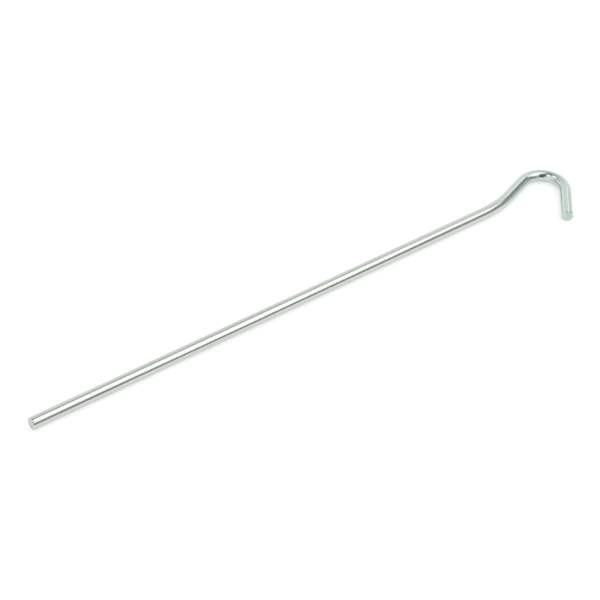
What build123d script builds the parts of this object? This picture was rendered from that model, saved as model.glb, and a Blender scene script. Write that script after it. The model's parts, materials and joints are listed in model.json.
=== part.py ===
from build123d import *

import os
from math import pi

# Hooked tent stake: one length of round plated steel wire, cut square at both ends
# and cold bent into an open hook. Millimetres and degrees.
#
# Frame: the stake lies flat. The origin is the centre of the ground end's cut face,
# +X runs up the straight shank towards the hook, every bend is in the XY plane, the
# hook's mouth opens towards -Y and +Z is up.

# Wire
wire_diameter = 4.0
end_break = 0.2  # small bevel that takes the sharp edge off each cut end

# Lengths and centreline radii, in order from the ground end to the hook's tip
shank_length = 165.5
offset_bend_radius = 33.5
offset_bend_angle = 21.5  # turns the neck aside, towards +Y
neck_length = 8.5
hook_radius = 7.5
hook_angle = 148.5  # turns back across the shank's line, towards -Y
tip_length = 12.8


# One continuous path along the wire's centreline: each run and bend starts where the
# one before it ends, along its tangent.
with BuildPart() as bent_wire:
    with BuildLine(Plane.XY) as centreline:
        shank = Line((0, 0), (shank_length, 0))
        offset_bend = JernArc(shank @ 1, shank % 1, offset_bend_radius, offset_bend_angle)
        neck = PolarLine(offset_bend @ 1, neck_length, direction=offset_bend % 1)
        hook_bend = JernArc(neck @ 1, neck % 1, hook_radius, -hook_angle)
        tip_leg = PolarLine(hook_bend @ 1, tip_length, direction=hook_bend % 1)
    with BuildSketch(Plane(origin=centreline.line @ 0, z_dir=centreline.line % 0)):
        Circle(wire_diameter / 2)
    sweep(path=centreline.line)

    # The two flat faces of the round wire are its cut ends.
    cut_ends = bent_wire.faces().filter_by(GeomType.PLANE)
    chamfer(cut_ends.edges(), end_break)

bent_wire.part.label = "bent_wire"

os.makedirs("parts", exist_ok=True)
export_step(bent_wire.part, "parts/bent_wire.step")

# A sound sweep holds its section times its length, less the two bevels.
developed_length = centreline.wire().length
section_area = pi * (wire_diameter / 2) ** 2
print(f"developed length {developed_length:.1f} mm, overall {bent_wire.part.bounding_box().size}")
print(f"volume {bent_wire.part.volume:.1f} mm3 of section times length {section_area * developed_length:.1f} mm3")
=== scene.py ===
"""Visual model of a hooked tent stake, and the plain pale studio it is seen in.

The stake is one length of round plated wire: a straight shank, an offset bend, a short neck, a hook
bend and a tip leg, cut square at both ends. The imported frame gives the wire's gauge, the length of
the shank and the inner radius of the hook, and the fields of the classes give the rest.

The stake lies flat. The origin is the centre of its ground end, +X runs up the shank to the hook,
every bend is in the XY plane and +Z is up. Lengths are in metres, and angles are in radians unless
a name ends in _deg.
"""

import json
import logging
from dataclasses import dataclass, field, replace
from enum import Enum
from functools import cached_property
from math import atan2, ceil, cos, hypot, pi, radians, sin
from operator import itemgetter
from typing import Callable

import bmesh
import bpy
from mathutils import Matrix, Vector, noise


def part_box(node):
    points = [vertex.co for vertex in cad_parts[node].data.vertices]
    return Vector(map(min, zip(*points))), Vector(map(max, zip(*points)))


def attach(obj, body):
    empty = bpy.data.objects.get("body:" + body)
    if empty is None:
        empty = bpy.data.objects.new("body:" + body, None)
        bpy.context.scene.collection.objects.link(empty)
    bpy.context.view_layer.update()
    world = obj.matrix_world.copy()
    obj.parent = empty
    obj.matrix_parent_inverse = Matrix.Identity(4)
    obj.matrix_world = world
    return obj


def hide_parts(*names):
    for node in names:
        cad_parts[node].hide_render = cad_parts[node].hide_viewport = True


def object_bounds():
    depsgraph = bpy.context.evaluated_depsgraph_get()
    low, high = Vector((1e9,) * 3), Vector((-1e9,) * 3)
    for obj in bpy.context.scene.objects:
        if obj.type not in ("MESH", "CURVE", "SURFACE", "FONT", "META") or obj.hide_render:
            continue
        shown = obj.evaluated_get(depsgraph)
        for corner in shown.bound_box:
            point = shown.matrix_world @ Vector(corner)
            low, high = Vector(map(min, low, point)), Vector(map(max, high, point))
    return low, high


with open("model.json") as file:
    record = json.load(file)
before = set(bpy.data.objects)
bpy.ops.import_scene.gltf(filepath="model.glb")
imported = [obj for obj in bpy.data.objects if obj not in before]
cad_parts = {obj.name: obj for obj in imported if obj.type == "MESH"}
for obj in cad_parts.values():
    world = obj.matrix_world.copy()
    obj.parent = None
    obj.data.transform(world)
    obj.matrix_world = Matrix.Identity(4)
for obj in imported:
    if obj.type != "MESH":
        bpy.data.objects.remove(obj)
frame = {"record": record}
cad_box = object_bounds()    # the box of the CAD model, before anything is added

MM = 0.001
UP = Vector((0.0, 0.0, 1.0))
WIRE_NODE = "bent_wire"
CHART = "straight"       # the attribute that holds the straightened wire's coordinates
CLOUD_LOW = 0.3          # most of a cloud pattern lies between these two values
CLOUD_HIGH = 0.7
CLOUD_SHIFT = Vector((1, 1 / 3, -1 / 7))    # the way in which cloud patterns are moved apart
QUAD = 4                 # the corners of an ordinary face

log = logging.getLogger("tent_stake")


class Turn(Enum):
    """The way a bend turns, seen from above while going up the wire."""

    LEFT = 1
    RIGHT = -1


class Face(Enum):
    """The finishes of the stake, in the order of their material slots."""

    PLATED_WIRE = 0
    CUT_END = 1


# --- The wire's route -----------------------------------------------------------------------------


@dataclass(frozen=True)
class Station:
    """A point of the centreline, the way the wire runs there and the length of wire before it."""

    place: Vector
    heading: float
    along: float

    def forward(self) -> Vector:
        """Returns the direction in which the wire runs."""
        return Vector((cos(self.heading), sin(self.heading), 0.0))

    def aside(self) -> Vector:
        """Returns the direction to the left of the wire."""
        return Vector((-sin(self.heading), cos(self.heading), 0.0))


@dataclass(frozen=True)
class Run:
    """A straight length of wire."""

    length: float
    ring_gap: float

    def end(self, start: Station) -> Station:
        """Returns the station where the run ends."""
        place = start.place + start.forward() * self.length
        return Station(place, start.heading, start.along + self.length)

    def draw(self, start: Station) -> None:
        """Draws the selected ring of the wire out along the run, in equal steps.

        Args:
            start: The station where the run starts.
        """
        steps = ceil(self.length / self.ring_gap)
        step = start.forward() * (self.length / steps)
        for _ in range(steps):
            bpy.ops.mesh.extrude_region_move(TRANSFORM_OT_translate={"value": tuple(step)})

    def straighten(self, start: Station, point: Vector) -> Vector:
        """Returns a point's place on the straightened wire.

        Args:
            start: The station where the run starts.
            point: A point on or in the wire.

        Returns:
            Its distance along the wire, to the left of the centreline and above it.
        """
        offset = point - start.place
        return Vector((start.along + offset.dot(start.forward()), offset.dot(start.aside()), offset.z))


@dataclass(frozen=True)
class Bend:
    """A length of wire that is bent round a centre beside it."""

    radius: float
    angle: float
    turn: Turn
    ring_gap: float

    @property
    def length(self) -> float:
        """The length of wire in the bend, along its centreline."""
        return self.radius * self.angle

    def centre(self, start: Station) -> Vector:
        """Returns the centre that the wire is bent round."""
        return start.place + start.aside() * (self.radius * self.turn.value)

    def end(self, start: Station) -> Station:
        """Returns the station where the bend ends."""
        centre = self.centre(start)
        turned = Matrix.Rotation(self.angle * self.turn.value, 3, UP)
        place = centre + turned @ (start.place - centre)
        return Station(place, start.heading + self.angle * self.turn.value, start.along + self.length)

    def draw(self, start: Station) -> None:
        """Spins the selected ring of the wire round the bend's centre.

        Args:
            start: The station where the bend starts.
        """
        # The operator counts an angle as positive clockwise.
        bpy.ops.mesh.spin(
            steps=ceil(self.length / self.ring_gap),
            angle=-self.angle * self.turn.value,
            center=tuple(self.centre(start)),
            axis=tuple(UP),
        )

    def straighten(self, start: Station, point: Vector) -> Vector:
        """Returns a point's place on the straightened wire.

        Args:
            start: The station where the bend starts.
            point: A point on or in the wire.

        Returns:
            Its distance along the wire, to the left of the centreline and above it.
        """
        spoke = start.place - self.centre(start)
        arm = point - self.centre(start)
        turned = atan2(spoke.x * arm.y - spoke.y * arm.x, spoke.x * arm.x + spoke.y * arm.y)
        outward = hypot(arm.x, arm.y) - self.radius
        along = start.along + turned * self.turn.value * self.radius
        return Vector((along, -outward * self.turn.value, point.z))


@dataclass(frozen=True)
class Route:
    """The wire's runs and bends, each starting where the one before it ends."""

    legs: tuple[Run | Bend, ...]

    @cached_property
    def stations(self) -> list[Station]:
        """The station where each leg starts, and the last leg's end."""
        found = [Station(Vector(), 0.0, 0.0)]
        for leg in self.legs:
            found.append(leg.end(found[-1]))
        return found

    def chart(self, point: Vector, reach: float) -> tuple[Run | Bend, Vector]:
        """Finds the leg that a point of the wire is on, and its place on the straightened wire.

        Args:
            point: A point on or in the wire.
            reach: How far past a leg's ends a point still counts as on it.

        Returns:
            The leg, and the point's distance along the wire, to its left and above it.
        """
        found = []
        for leg, start in zip(self.legs, self.stations):
            place = leg.straighten(start, point)
            past = max(start.along - place.x, place.x - start.along - leg.length, 0.0)
            if past <= reach:
                found.append((hypot(place.y, place.z) + past, leg, place))
        _, leg, place = min(found, key=itemgetter(0))
        return leg, place


# --- Finishes -------------------------------------------------------------------------------------


@dataclass(frozen=True)
class Grain:
    """A cloud pattern drawn out along the straightened wire.

    It has a size along and across the wire, a number of finer layers, and a shift that sets it
    apart from the other patterns.
    """

    along: float
    across: float
    layers: float
    shift: float


class Board:
    """Lays out and joins the nodes of one material or world."""

    def __init__(self, tree: bpy.types.NodeTree) -> None:
        """Starts on a tree, which keeps the nodes that it already has.

        Args:
            tree: The node tree of a material or world.
        """
        self.tree = tree

    def add(self, kind: str, **settings: object) -> bpy.types.Node:
        """Adds a node and sets its properties.

        Args:
            kind: The node's type name.
            **settings: Values for the node's properties.

        Returns:
            The new node.
        """
        node = self.tree.nodes.new(kind)
        for name, value in settings.items():
            setattr(node, name, value)
        return node

    def join(self, source: bpy.types.NodeSocket, target: bpy.types.NodeSocket) -> None:
        """Joins an output to an input."""
        self.tree.links.new(source, target)

    def cloud(
        self, place: bpy.types.NodeSocket, sizes: Vector, shift: Vector, layers: float
    ) -> bpy.types.NodeSocket:
        """Adds a cloud pattern.

        Args:
            place: The coordinates that it lies on.
            sizes: Its size along each of their axes.
            shift: How far it is moved along each of them.
            layers: How many finer layers it has.

        Returns:
            The pattern's value, from 0 to 1 and mostly near the middle.
        """
        mapping = self.add("ShaderNodeMapping", vector_type="POINT")
        mapping.inputs["Scale"].default_value = [1 / size for size in sizes]
        mapping.inputs["Location"].default_value = shift
        noise_node = self.add("ShaderNodeTexNoise", noise_dimensions="3D")
        noise_node.inputs["Scale"].default_value = 1.0
        noise_node.inputs["Detail"].default_value = layers
        self.join(place, mapping.inputs["Vector"])
        self.join(mapping.outputs["Vector"], noise_node.inputs["Vector"])
        return noise_node.outputs[0]

    def chart(self) -> bpy.types.NodeSocket:
        """Adds the straightened wire's coordinates."""
        chart = self.add("ShaderNodeAttribute", attribute_name=CHART, attribute_type="GEOMETRY")
        return chart.outputs["Vector"]

    def grain(self, grain: Grain) -> bpy.types.NodeSocket:
        """Returns the value of a pattern that is drawn out along the wire."""
        sizes = Vector((grain.along, grain.across, grain.across))
        return self.cloud(self.chart(), sizes, CLOUD_SHIFT * grain.shift, grain.layers)

    def ramp(
        self, value: bpy.types.NodeSocket, stops: list[tuple[float, tuple[float, float, float]]]
    ) -> bpy.types.NodeSocket:
        """Adds a colour that follows a value.

        Args:
            value: The value, from 0 to 1.
            stops: The colour at some values, from the lowest up.

        Returns:
            The colour.
        """
        node = self.add("ShaderNodeValToRGB")
        elements = node.color_ramp.elements
        while len(elements) < len(stops):
            elements.new(1.0)
        for element, (position, colour) in zip(elements, stops):
            element.position = position
            element.color = (*colour, 1.0)
        self.join(value, node.inputs["Fac"])
        return node.outputs["Color"]

    def spread(self, value: bpy.types.NodeSocket, low: float, high: float) -> bpy.types.NodeSocket:
        """Maps the useful middle of a cloud pattern onto a range.

        Args:
            value: The pattern.
            low: The result where the pattern is low.
            high: The result where the pattern is high.

        Returns:
            The mapped value, held within the range.
        """
        ranged = self.add("ShaderNodeMapRange", clamp=True)
        ranged.inputs["From Min"].default_value = CLOUD_LOW
        ranged.inputs["From Max"].default_value = CLOUD_HIGH
        ranged.inputs["To Min"].default_value = low
        ranged.inputs["To Max"].default_value = high
        self.join(value, ranged.inputs["Value"])
        return ranged.outputs["Result"]

    def combine(
        self, operation: str, one: bpy.types.NodeSocket, two: bpy.types.NodeSocket
    ) -> bpy.types.NodeSocket:
        """Returns the result of a sum or other operation on two values."""
        node = self.add("ShaderNodeMath", operation=operation)
        self.join(one, node.inputs[0])
        self.join(two, node.inputs[1])
        return node.outputs["Value"]

    def shade(self, colour: bpy.types.NodeSocket, value: bpy.types.NodeSocket) -> bpy.types.NodeSocket:
        """Returns a colour multiplied by a value."""
        node = self.add("ShaderNodeVectorMath", operation="SCALE")
        self.join(colour, node.inputs[0])
        self.join(value, node.inputs["Scale"])
        return node.outputs["Vector"]

    def relief(
        self, height: bpy.types.NodeSocket, depth: float, under: bpy.types.NodeSocket | None = None
    ) -> bpy.types.NodeSocket:
        """Adds surface relief.

        Args:
            height: The relief's height, from 0 to 1.
            depth: What a height of 1 stands for.
            under: The normals of a relief that this one lies on.

        Returns:
            The normals.
        """
        bump = self.add("ShaderNodeBump")
        bump.inputs["Strength"].default_value = 1.0
        bump.inputs["Distance"].default_value = depth
        self.join(height, bump.inputs["Height"])
        if under is not None:
            self.join(under, bump.inputs["Normal"])
        return bump.outputs["Normal"]


def new_metal(name: str) -> tuple[bpy.types.Material, Board, bpy.types.Node]:
    """Starts a bare metal material.

    Args:
        name: The material's name.

    Returns:
        The material, the board of its nodes and its shader.
    """
    material = bpy.data.materials.new(name)
    material.use_nodes = True
    board = Board(material.node_tree)
    shader = material.node_tree.nodes["Principled BSDF"]
    shader.inputs["Metallic"].default_value = 1.0
    return material, board, shader


@dataclass(frozen=True)
class ZincTint:
    """The colour of the clear-passivated zinc, greener where it was bent and handled."""

    shank: tuple[float, float, float] = (0.606, 0.638, 0.602)
    hook: tuple[float, float, float] = (0.575, 0.649, 0.613)
    tip: tuple[float, float, float] = (0.581, 0.687, 0.619)

    def colour(self, board: Board, route: Route) -> bpy.types.NodeSocket:
        """Adds the colour, which changes slowly along the wire.

        Args:
            board: The material's board.
            route: The wire's route.

        Returns:
            The colour.
        """
        offset, neck, _, tip, end = route.stations[1:]
        split = board.add("ShaderNodeSeparateXYZ")
        share = board.add("ShaderNodeMapRange")
        share.inputs["From Max"].default_value = end.along
        board.join(board.chart(), split.inputs["Vector"])
        board.join(split.outputs["X"], share.inputs["Value"])
        stops = [
            (offset.along / end.along, self.shank),
            (neck.along / end.along, self.hook),
            (tip.along / end.along, self.hook),
            ((tip.along + end.along) / 2 / end.along, self.tip),
        ]
        return board.ramp(share.outputs["Result"], stops)


@dataclass(frozen=True)
class ZincPlating:
    """Bright drawn wire under a thin zinc plating."""

    tint: ZincTint = ZincTint()
    smoothest: float = 0.09
    roughest: float = 0.18
    streak_share: float = 0.5
    lines: Grain = Grain(along=14 * MM, across=0.10 * MM, layers=3.0, shift=3.1)
    line_depth: float = 0.0016 * MM
    streaks: Grain = Grain(along=30 * MM, across=0.45 * MM, layers=2.0, shift=11.7)
    streak_tone: tuple[float, float] = (0.93, 1.05)
    dimples: Grain = Grain(along=1.5 * MM, across=1.5 * MM, layers=2.0, shift=23.3)
    dimple_depth: float = 0.012 * MM
    specks: Grain = Grain(along=0.6 * MM, across=0.3 * MM, layers=2.0, shift=41.9)
    speck_tone: tuple[float, float] = (0.93, 1.05)
    speck_depth: float = 0.005 * MM

    def material(self, route: Route) -> bpy.types.Material:
        """Builds the finish.

        Args:
            route: The wire's route, for what changes along it.

        Returns:
            The material.
        """
        material, board, shader = new_metal("bright_zinc_plating")
        lines = board.grain(self.lines)
        streaks = board.grain(self.streaks)
        dimples = board.grain(self.dimples)
        specks = board.grain(self.specks)

        streak_tone = board.spread(streaks, *self.streak_tone)
        speck_tone = board.spread(specks, *self.speck_tone)
        tone = board.combine("MULTIPLY", streak_tone, speck_tone)
        board.join(board.shade(self.tint.colour(board, route), tone), shader.inputs["Base Color"])

        streak_part = board.spread(streaks, 0.0, self.streak_share)
        dimple_part = board.spread(dimples, 0.0, 1.0 - self.streak_share)
        patches = board.combine("ADD", streak_part, dimple_part)
        roughness = board.add("ShaderNodeMapRange")
        roughness.inputs["To Min"].default_value = self.smoothest
        roughness.inputs["To Max"].default_value = self.roughest
        board.join(patches, roughness.inputs["Value"])
        board.join(roughness.outputs["Result"], shader.inputs["Roughness"])

        normals = board.relief(dimples, self.dimple_depth)
        normals = board.relief(specks, self.speck_depth, normals)
        normals = board.relief(lines, self.line_depth, normals)
        board.join(normals, shader.inputs["Normal"])
        return material


@dataclass(frozen=True)
class ShearedEnd:
    """The duller, faintly torn face that a shear leaves, under the same plating."""

    tint: ZincTint = ZincTint()
    smoothest: float = 0.26
    roughest: float = 0.42
    tear_length: float = 1.2 * MM
    tear_width: float = 0.35 * MM
    tear_layers: float = 3.0
    tear_tone: tuple[float, float] = (0.75, 0.95)
    tear_depth: float = 0.020 * MM

    def material(self, route: Route) -> bpy.types.Material:
        """Builds the finish.

        Args:
            route: The wire's route, for what changes along it.

        Returns:
            The material.
        """
        material, board, shader = new_metal("sheared_zinc_end")
        coordinates = board.add("ShaderNodeTexCoord")
        sizes = Vector((self.tear_width, self.tear_width, self.tear_length))
        tears = board.cloud(coordinates.outputs["Object"], sizes, Vector(), self.tear_layers)
        tone = board.spread(tears, *self.tear_tone)
        board.join(board.shade(self.tint.colour(board, route), tone), shader.inputs["Base Color"])
        roughness = board.spread(tears, self.roughest, self.smoothest)
        board.join(roughness, shader.inputs["Roughness"])
        board.join(board.relief(tears, self.tear_depth), shader.inputs["Normal"])
        return material


# --- The stake ------------------------------------------------------------------------------------


def clear_bench() -> None:
    """Leaves edit mode and deselects every object."""
    if bpy.context.object is not None and bpy.context.object.mode != "OBJECT":
        bpy.ops.object.mode_set(mode="OBJECT")
    bpy.ops.object.select_all(action="DESELECT")


def select_faces(piece: bpy.types.Object, wanted: Callable[[bmesh.types.BMFace], bool]) -> None:
    """Selects, in edit mode, the faces that pass a test, and nothing else.

    Args:
        piece: The object in edit mode.
        wanted: The test.
    """
    bpy.ops.mesh.select_mode(type="FACE")
    bpy.ops.mesh.select_all(action="DESELECT")
    mesh = bmesh.from_edit_mesh(piece.data)
    for face in mesh.faces:
        if wanted(face):
            face.select_set(True)
    bmesh.update_edit_mesh(piece.data)


def is_end_face(face: bmesh.types.BMFace) -> bool:
    """Tells whether a face is the undivided middle of one of the wire's ends."""
    return len(face.verts) > QUAD


@dataclass
class BentWire:
    """The stake's one piece: a round wire, bent cold and cut square at both ends."""

    radius: float
    shank_length: float
    hook_radius: float
    offset_bend_radius: float = 33.5 * MM
    offset_bend_deg: float = 21.5
    neck_length: float = 8.5 * MM
    hook_deg: float = 148.5
    tip_length: float = 12.8 * MM
    sides: int = 96
    shank_ring_gap: float = 1.5 * MM
    ring_gap: float = 0.7 * MM
    hook_ring_gap: float = 0.36 * MM
    cad_end_break: float = 0.2 * MM
    end_round: float = 0.42 * MM
    end_round_steps: int = 6
    end_rings: int = 3
    thinning: float = 0.03
    inner_flat: float = 0.015
    bend_ease: float = 2.5 * MM
    ripple_size: float = 1.8 * MM
    ripple_stretch: float = 2.0
    ripple: float = 0.010 * MM
    straight_ripple_share: float = 0.4
    smooth_deg: float = 40.0
    plating: ZincPlating = field(default_factory=ZincPlating)
    sheared_end: ShearedEnd = field(default_factory=ShearedEnd)

    @classmethod
    def from_frame(cls, record: dict) -> "BentWire":
        """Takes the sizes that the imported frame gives.

        Args:
            record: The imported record.

        Returns:
            The wire, not built yet.
        """
        low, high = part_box(WIRE_NODE)
        radius = (high.z - low.z) / 2
        mounts = {mount["name"]: mount for mount in record["mounts"]}
        shank_length = mounts["shank"]["dims"]["length_mm"] * MM + cls.cad_end_break
        hook_radius = mounts["hook_seat"]["dims"]["r_mm"] * MM + radius
        return cls(radius=radius, shank_length=shank_length, hook_radius=hook_radius)

    def route(self) -> Route:
        """Returns the wire's route, from the ground end to the hook's tip."""
        return Route((
            Run(self.shank_length, self.shank_ring_gap),
            Bend(self.offset_bend_radius, radians(self.offset_bend_deg), Turn.LEFT, self.ring_gap),
            Run(self.neck_length, self.ring_gap),
            Bend(self.hook_radius, radians(self.hook_deg), Turn.RIGHT, self.hook_ring_gap),
            Run(self.tip_length, self.ring_gap),
        ))

    def draw_wire(self) -> bpy.types.Object:
        """Draws a ring of the wire's gauge along the route.

        Returns:
            The open tube, left in edit mode.
        """
        clear_bench()
        bpy.ops.mesh.primitive_circle_add(
            vertices=self.sides, radius=self.radius, fill_type="NOTHING", rotation=(0.0, pi / 2, 0.0)
        )
        piece = bpy.context.object
        piece.name = "stake_wire"
        piece.data.name = "stake_wire"
        bpy.ops.object.transform_apply(location=True, rotation=True, scale=True)
        bpy.ops.object.mode_set(mode="EDIT")
        bpy.ops.mesh.select_mode(type="EDGE")
        bpy.ops.mesh.select_all(action="SELECT")
        route = self.route()
        for leg, start in zip(route.legs, route.stations):
            leg.draw(start)
        return piece

    def close_ends(self, piece: bpy.types.Object) -> None:
        """Closes both ends with a face, rounds its rim and divides it into rings.

        Args:
            piece: The open tube, in edit mode.
        """
        bpy.ops.mesh.select_all(action="SELECT")
        bpy.ops.mesh.fill_holes(sides=0)
        bpy.ops.mesh.select_all(action="SELECT")
        bpy.ops.mesh.normals_make_consistent(inside=False)
        select_faces(piece, is_end_face)
        bpy.ops.mesh.bevel(
            offset=self.end_round, segments=self.end_round_steps, profile=0.5, affect="EDGES"
        )
        select_faces(piece, is_end_face)
        piece.active_material_index = Face.CUT_END.value
        bpy.ops.object.material_slot_assign()
        ring = (self.radius - self.end_round) / (self.end_rings + 1)
        for _ in range(self.end_rings):
            select_faces(piece, is_end_face)
            bpy.ops.mesh.inset(thickness=ring)
        select_faces(piece, is_end_face)
        bpy.ops.mesh.poke()

    def work_metal(self, piece: bpy.types.Object) -> None:
        """Gives the wire the marks of its making, and charts its straightened coordinates.

        A bend thins the wire on its outer side and flattens it a little on its inner side, and
        drawing and bending leave a slow ripple.

        Args:
            piece: The closed wire, in object mode.
        """
        route = self.route()
        places = []
        normals = [vertex.normal.copy() for vertex in piece.data.vertices]
        for vertex, normal in zip(piece.data.vertices, normals):
            leg, place = route.chart(vertex.co, self.end_round)
            places.extend(place)
            vertex.co += self.bend_mark(route, leg, place, normal)
        chart = piece.data.attributes.new(CHART, "FLOAT_VECTOR", "POINT")
        chart.data.foreach_set("vector", places)
        piece.data.update()

    def bend_mark(self, route: Route, leg: Run | Bend, place: Vector, normal: Vector) -> Vector:
        """Returns how far making the wire moved a point of its surface.

        Args:
            route: The wire's route.
            leg: The leg that the point is on.
            place: The point's place on the straightened wire.
            normal: The surface's normal there.

        Returns:
            The move, never to below the plane that the wire lies on.
        """
        start = route.stations[route.legs.index(leg)]
        bent = 0.0
        move = 0.0
        if isinstance(leg, Bend):
            inside = min(place.x - start.along, start.along + leg.length - place.x) / self.bend_ease
            bent = min(max(inside, 0.0), 1.0)
            outward = -place.y * leg.turn.value / self.radius
            tightness = self.hook_radius / leg.radius
            share = self.thinning if outward > 0 else self.inner_flat
            move -= share * self.radius * tightness * bent * outward ** 2
        wave = noise.noise(Vector((place.x / self.ripple_stretch, place.y, place.z)) / self.ripple_size)
        move += self.ripple * wave * max(bent, self.straight_ripple_share)
        shift = normal * move
        lowest = -self.radius - place.z
        shift.z = max(shift.z, min(lowest, 0.0))
        return shift

    def build(self) -> bpy.types.Object:
        """Builds and dresses the wire.

        Returns:
            The finished piece.
        """
        piece = self.draw_wire()
        finishes = {Face.PLATED_WIRE: self.plating, Face.CUT_END: self.sheared_end}
        for face in Face:
            piece.data.materials.append(finishes[face].material(self.route()))
        self.close_ends(piece)
        bpy.ops.object.mode_set(mode="OBJECT")
        self.work_metal(piece)
        bpy.ops.object.shade_smooth_by_angle(angle=radians(self.smooth_deg))
        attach(piece, "root")
        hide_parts(WIRE_NODE)
        return piece


# --- The studio -----------------------------------------------------------------------------------


@dataclass(frozen=True)
class Bearing:
    """A direction from the stake: round from the camera's line of sight, and above the horizon.

    An azimuth of 0 is away from the camera, 90 is to its right and 180 is behind it.
    """

    azimuth_deg: float
    elevation_deg: float

    def direction(self, sight_deg: float) -> Vector:
        """Returns the direction in the stake's frame.

        Args:
            sight_deg: The azimuth of the camera's line of sight, from +Y towards +X.

        Returns:
            A vector of length 1.
        """
        azimuth = radians(sight_deg + self.azimuth_deg)
        elevation = radians(self.elevation_deg)
        return Vector((sin(azimuth) * cos(elevation), cos(azimuth) * cos(elevation), sin(elevation)))


@dataclass(frozen=True)
class Stand:
    """Where a light or card stands, square to the stake and turned about the line to it."""

    bearing: Bearing
    distance: float
    roll_deg: float = 0.0

    def matrix(self, centre: Vector, sight_deg: float) -> Matrix:
        """Returns the place of what stands there, its -Z side facing the stake.

        Args:
            centre: The middle of the stake.
            sight_deg: The azimuth of the camera's line of sight.

        Returns:
            The matrix, with X level and Y upwards where roll_deg is 0.
        """
        towards = self.bearing.direction(sight_deg)
        facing = (-towards).to_track_quat("-Z", "Y").to_matrix().to_4x4()
        roll = Matrix.Rotation(radians(self.roll_deg), 4, "Z")
        return Matrix.Translation(centre + towards * self.distance) @ facing @ roll


@dataclass(frozen=True)
class ViewCamera:
    """The camera, held level, which looks down on the stake past its ground end."""

    sight_deg: float = 34.05
    elevation_deg: float = 43.48
    distance: float = 590.4 * MM
    aim_offset: tuple[float, float, float] = (-5.51 * MM, 4.33 * MM, 0.0)
    lens_mm: float = 115.13
    sensor_mm: float = 36.0
    nearest: float = 0.01
    farthest: float = 50.0

    def build(self, centre: Vector) -> None:
        """Builds the camera.

        Args:
            centre: The middle of the stake.
        """
        camera = bpy.data.objects.new("view_camera", bpy.data.cameras.new("view_camera"))
        camera.data.lens = self.lens_mm
        camera.data.sensor_width = self.sensor_mm
        camera.data.clip_start = self.nearest
        camera.data.clip_end = self.farthest
        forward = Bearing(0.0, -self.elevation_deg).direction(self.sight_deg)
        camera.location = centre + Vector(self.aim_offset) - forward * self.distance
        camera.rotation_euler = forward.to_track_quat("-Z", "Y").to_euler()
        bpy.context.collection.objects.link(camera)
        bpy.context.scene.camera = camera


@dataclass(frozen=True)
class GreyCard:
    """A flat card that only reflections show, to shape the bright metal."""

    name: str
    stand: Stand
    width: float
    height: float
    radiance: float

    def build(self, centre: Vector, sight_deg: float) -> None:
        """Builds the card.

        Args:
            centre: The middle of the stake.
            sight_deg: The azimuth of the camera's line of sight.
        """
        clear_bench()
        bpy.ops.mesh.primitive_plane_add(size=1.0)
        card = bpy.context.object
        card.name = self.name
        size = Matrix.Diagonal((self.width, self.height, 1.0, 1.0))
        card.matrix_world = self.stand.matrix(centre, sight_deg) @ size
        material = bpy.data.materials.new(self.name)
        material.use_nodes = True
        board = Board(material.node_tree)
        material.node_tree.nodes.clear()
        paint = board.add("ShaderNodeEmission")
        paint.inputs["Color"].default_value = (self.radiance, self.radiance, self.radiance, 1.0)
        output = board.add("ShaderNodeOutputMaterial")
        board.join(paint.outputs["Emission"], output.inputs["Surface"])
        card.data.materials.append(material)
        card.visible_camera = False
        card.visible_diffuse = False
        card.visible_shadow = False
        card.visible_transmission = False


@dataclass(frozen=True)
class SoftBox:
    """A rectangular diffused light that faces the stake, in a black housing.

    The housing hides what is behind the light, which the light alone would let through.
    """

    name: str
    stand: Stand
    width: float
    height: float
    radiance: float
    housing_gap: float = 2 * MM

    def build(self, centre: Vector, sight_deg: float) -> None:
        """Builds the light and its housing.

        Args:
            centre: The middle of the stake.
            sight_deg: The azimuth of the camera's line of sight.
        """
        lamp = bpy.data.lights.new(self.name, "AREA")
        lamp.shape = "RECTANGLE"
        lamp.size = self.width
        lamp.size_y = self.height
        lamp.energy = self.radiance * pi * self.width * self.height
        light = bpy.data.objects.new(self.name, lamp)
        light.matrix_world = self.stand.matrix(centre, sight_deg)
        light.visible_camera = False
        bpy.context.collection.objects.link(light)
        behind = replace(self.stand, distance=self.stand.distance + self.housing_gap)
        housing = GreyCard(f"{self.name}_housing", behind, self.width, self.height, radiance=0.0)
        housing.build(centre, sight_deg)


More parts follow.
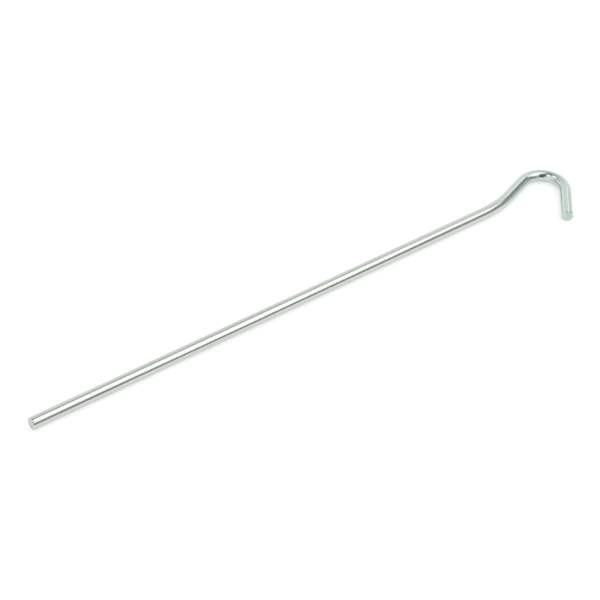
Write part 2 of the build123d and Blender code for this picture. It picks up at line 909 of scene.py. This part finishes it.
@dataclass(frozen=True)
class Studio:
    """The pale floor, the soft lights and the even surround.

    The sky gives the surround's brightness at some elevations in degrees, from the nadir up.
    """

    floor_side: float = 4.0
    floor_colour: tuple[float, float, float] = (0.38, 0.38, 0.38)
    floor_glow: float = 0.62
    sky: tuple[tuple[float, float], ...] = (
        (-90, 1.05), (0, 1.06), (15, 1.09), (30, 0.98), (45, 0.99), (60, 0.63), (90, 0.27)
    )
    lights: tuple[SoftBox, ...] = (
        SoftBox("key_softbox", Stand(Bearing(107, 60.6), 0.77, 18), width=0.69, height=0.755, radiance=1.60),
        SoftBox("away_softbox", Stand(Bearing(33, 53), 0.74, -1), width=0.25, height=0.72, radiance=1.32),
        SoftBox("left_softbox", Stand(Bearing(-74, 66), 0.62, -6), width=0.237, height=0.142, radiance=1.8),
        SoftBox("back_softbox", Stand(Bearing(-146, 63), 0.58), width=0.12, height=0.22, radiance=2.8),
    )
    cards: tuple[GreyCard, ...] = (
        GreyCard("right_grey_card", Stand(Bearing(95, 28), 0.82, 10), width=1.94, height=0.57, radiance=0.37),
        GreyCard("camera_grey_card", Stand(Bearing(-186, 43), 0.70, 9), width=0.47, height=1.22, radiance=0.14),
        GreyCard("boom_grey_card", Stand(Bearing(2, 70), 0.66, 41), width=0.72, height=0.10, radiance=0.33),
        GreyCard("left_grey_card", Stand(Bearing(-85, 33), 0.75, -38), width=0.85, height=0.10, radiance=0.42),
    )

    def build_floor(self) -> None:
        """Builds the floor that the stake lies on."""
        clear_bench()
        low, high = cad_box
        middle = (low + high) / 2
        bpy.ops.mesh.primitive_plane_add(size=self.floor_side, location=(middle.x, middle.y, low.z))
        floor = bpy.context.object
        floor.name = "pale_floor"
        bpy.ops.object.transform_apply(location=True, rotation=True, scale=True)
        material = bpy.data.materials.new("pale_floor")
        material.use_nodes = True
        shader = material.node_tree.nodes["Principled BSDF"]
        shader.inputs["Base Color"].default_value = (*self.floor_colour, 1.0)
        shader.inputs["Roughness"].default_value = 1.0
        shader.inputs["Specular IOR Level"].default_value = 0.0
        shader.inputs["Emission Color"].default_value = (1.0, 1.0, 1.0, 1.0)
        shader.inputs["Emission Strength"].default_value = self.floor_glow
        floor.data.materials.append(material)

    def build_surround(self) -> None:
        """Builds the world: even grey-white to well above the horizon, and dimmer overhead."""
        world = bpy.data.worlds.new("studio_surround")
        world.use_nodes = True
        bpy.context.scene.world = world
        board = Board(world.node_tree)
        direction = board.add("ShaderNodeTexCoord")
        split = board.add("ShaderNodeSeparateXYZ")
        height = board.add("ShaderNodeMapRange")
        height.inputs["From Min"].default_value = -1.0
        board.join(direction.outputs["Generated"], split.inputs["Vector"])
        board.join(split.outputs["Z"], height.inputs["Value"])
        stops = []
        for elevation_deg, value in self.sky:
            share = (sin(radians(elevation_deg)) + 1) / 2
            stops.append((share, (value, value, value)))
        colour = board.ramp(height.outputs["Result"], stops)
        board.join(colour, world.node_tree.nodes["Background"].inputs["Color"])

    def build(self, centre: Vector, sight_deg: float) -> None:
        """Builds the studio.

        Args:
            centre: The middle of the stake.
            sight_deg: The azimuth of the camera's line of sight.
        """
        self.build_floor()
        self.build_surround()
        for light in self.lights:
            light.build(centre, sight_deg)
        for card in self.cards:
            card.build(centre, sight_deg)
        bpy.context.scene.view_settings.view_transform = "Standard"


# --- Making ---------------------------------------------------------------------------------------


def report_piece(piece: bpy.types.Object) -> None:
    """Logs a piece's size and how far its box is from the CAD model's.

    Args:
        piece: A finished piece.
    """
    corners = [vertex.co for vertex in piece.data.vertices]
    low = Vector([min(corner[axis] for corner in corners) for axis in range(3)])
    high = Vector([max(corner[axis] for corner in corners) for axis in range(3)])
    gap = [round(value / MM, 3) for value in (*(low - cad_box[0]), *(high - cad_box[1]))]
    triangles = sum(len(face.vertices) - 2 for face in piece.data.polygons)
    log.info("%s: %d triangles, box differs from the CAD box by %s mm", piece.name, triangles, gap)


def main() -> None:
    """Builds the stake, the camera and the studio."""
    logging.basicConfig(level=logging.INFO, format="%(name)s: %(message)s")
    wire = BentWire.from_frame(frame["record"])
    report_piece(wire.build())
    centre = (cad_box[0] + cad_box[1]) / 2
    camera = ViewCamera()
    camera.build(centre)
    Studio().build(centre, camera.sight_deg)


if __name__ == "__main__":
    main()
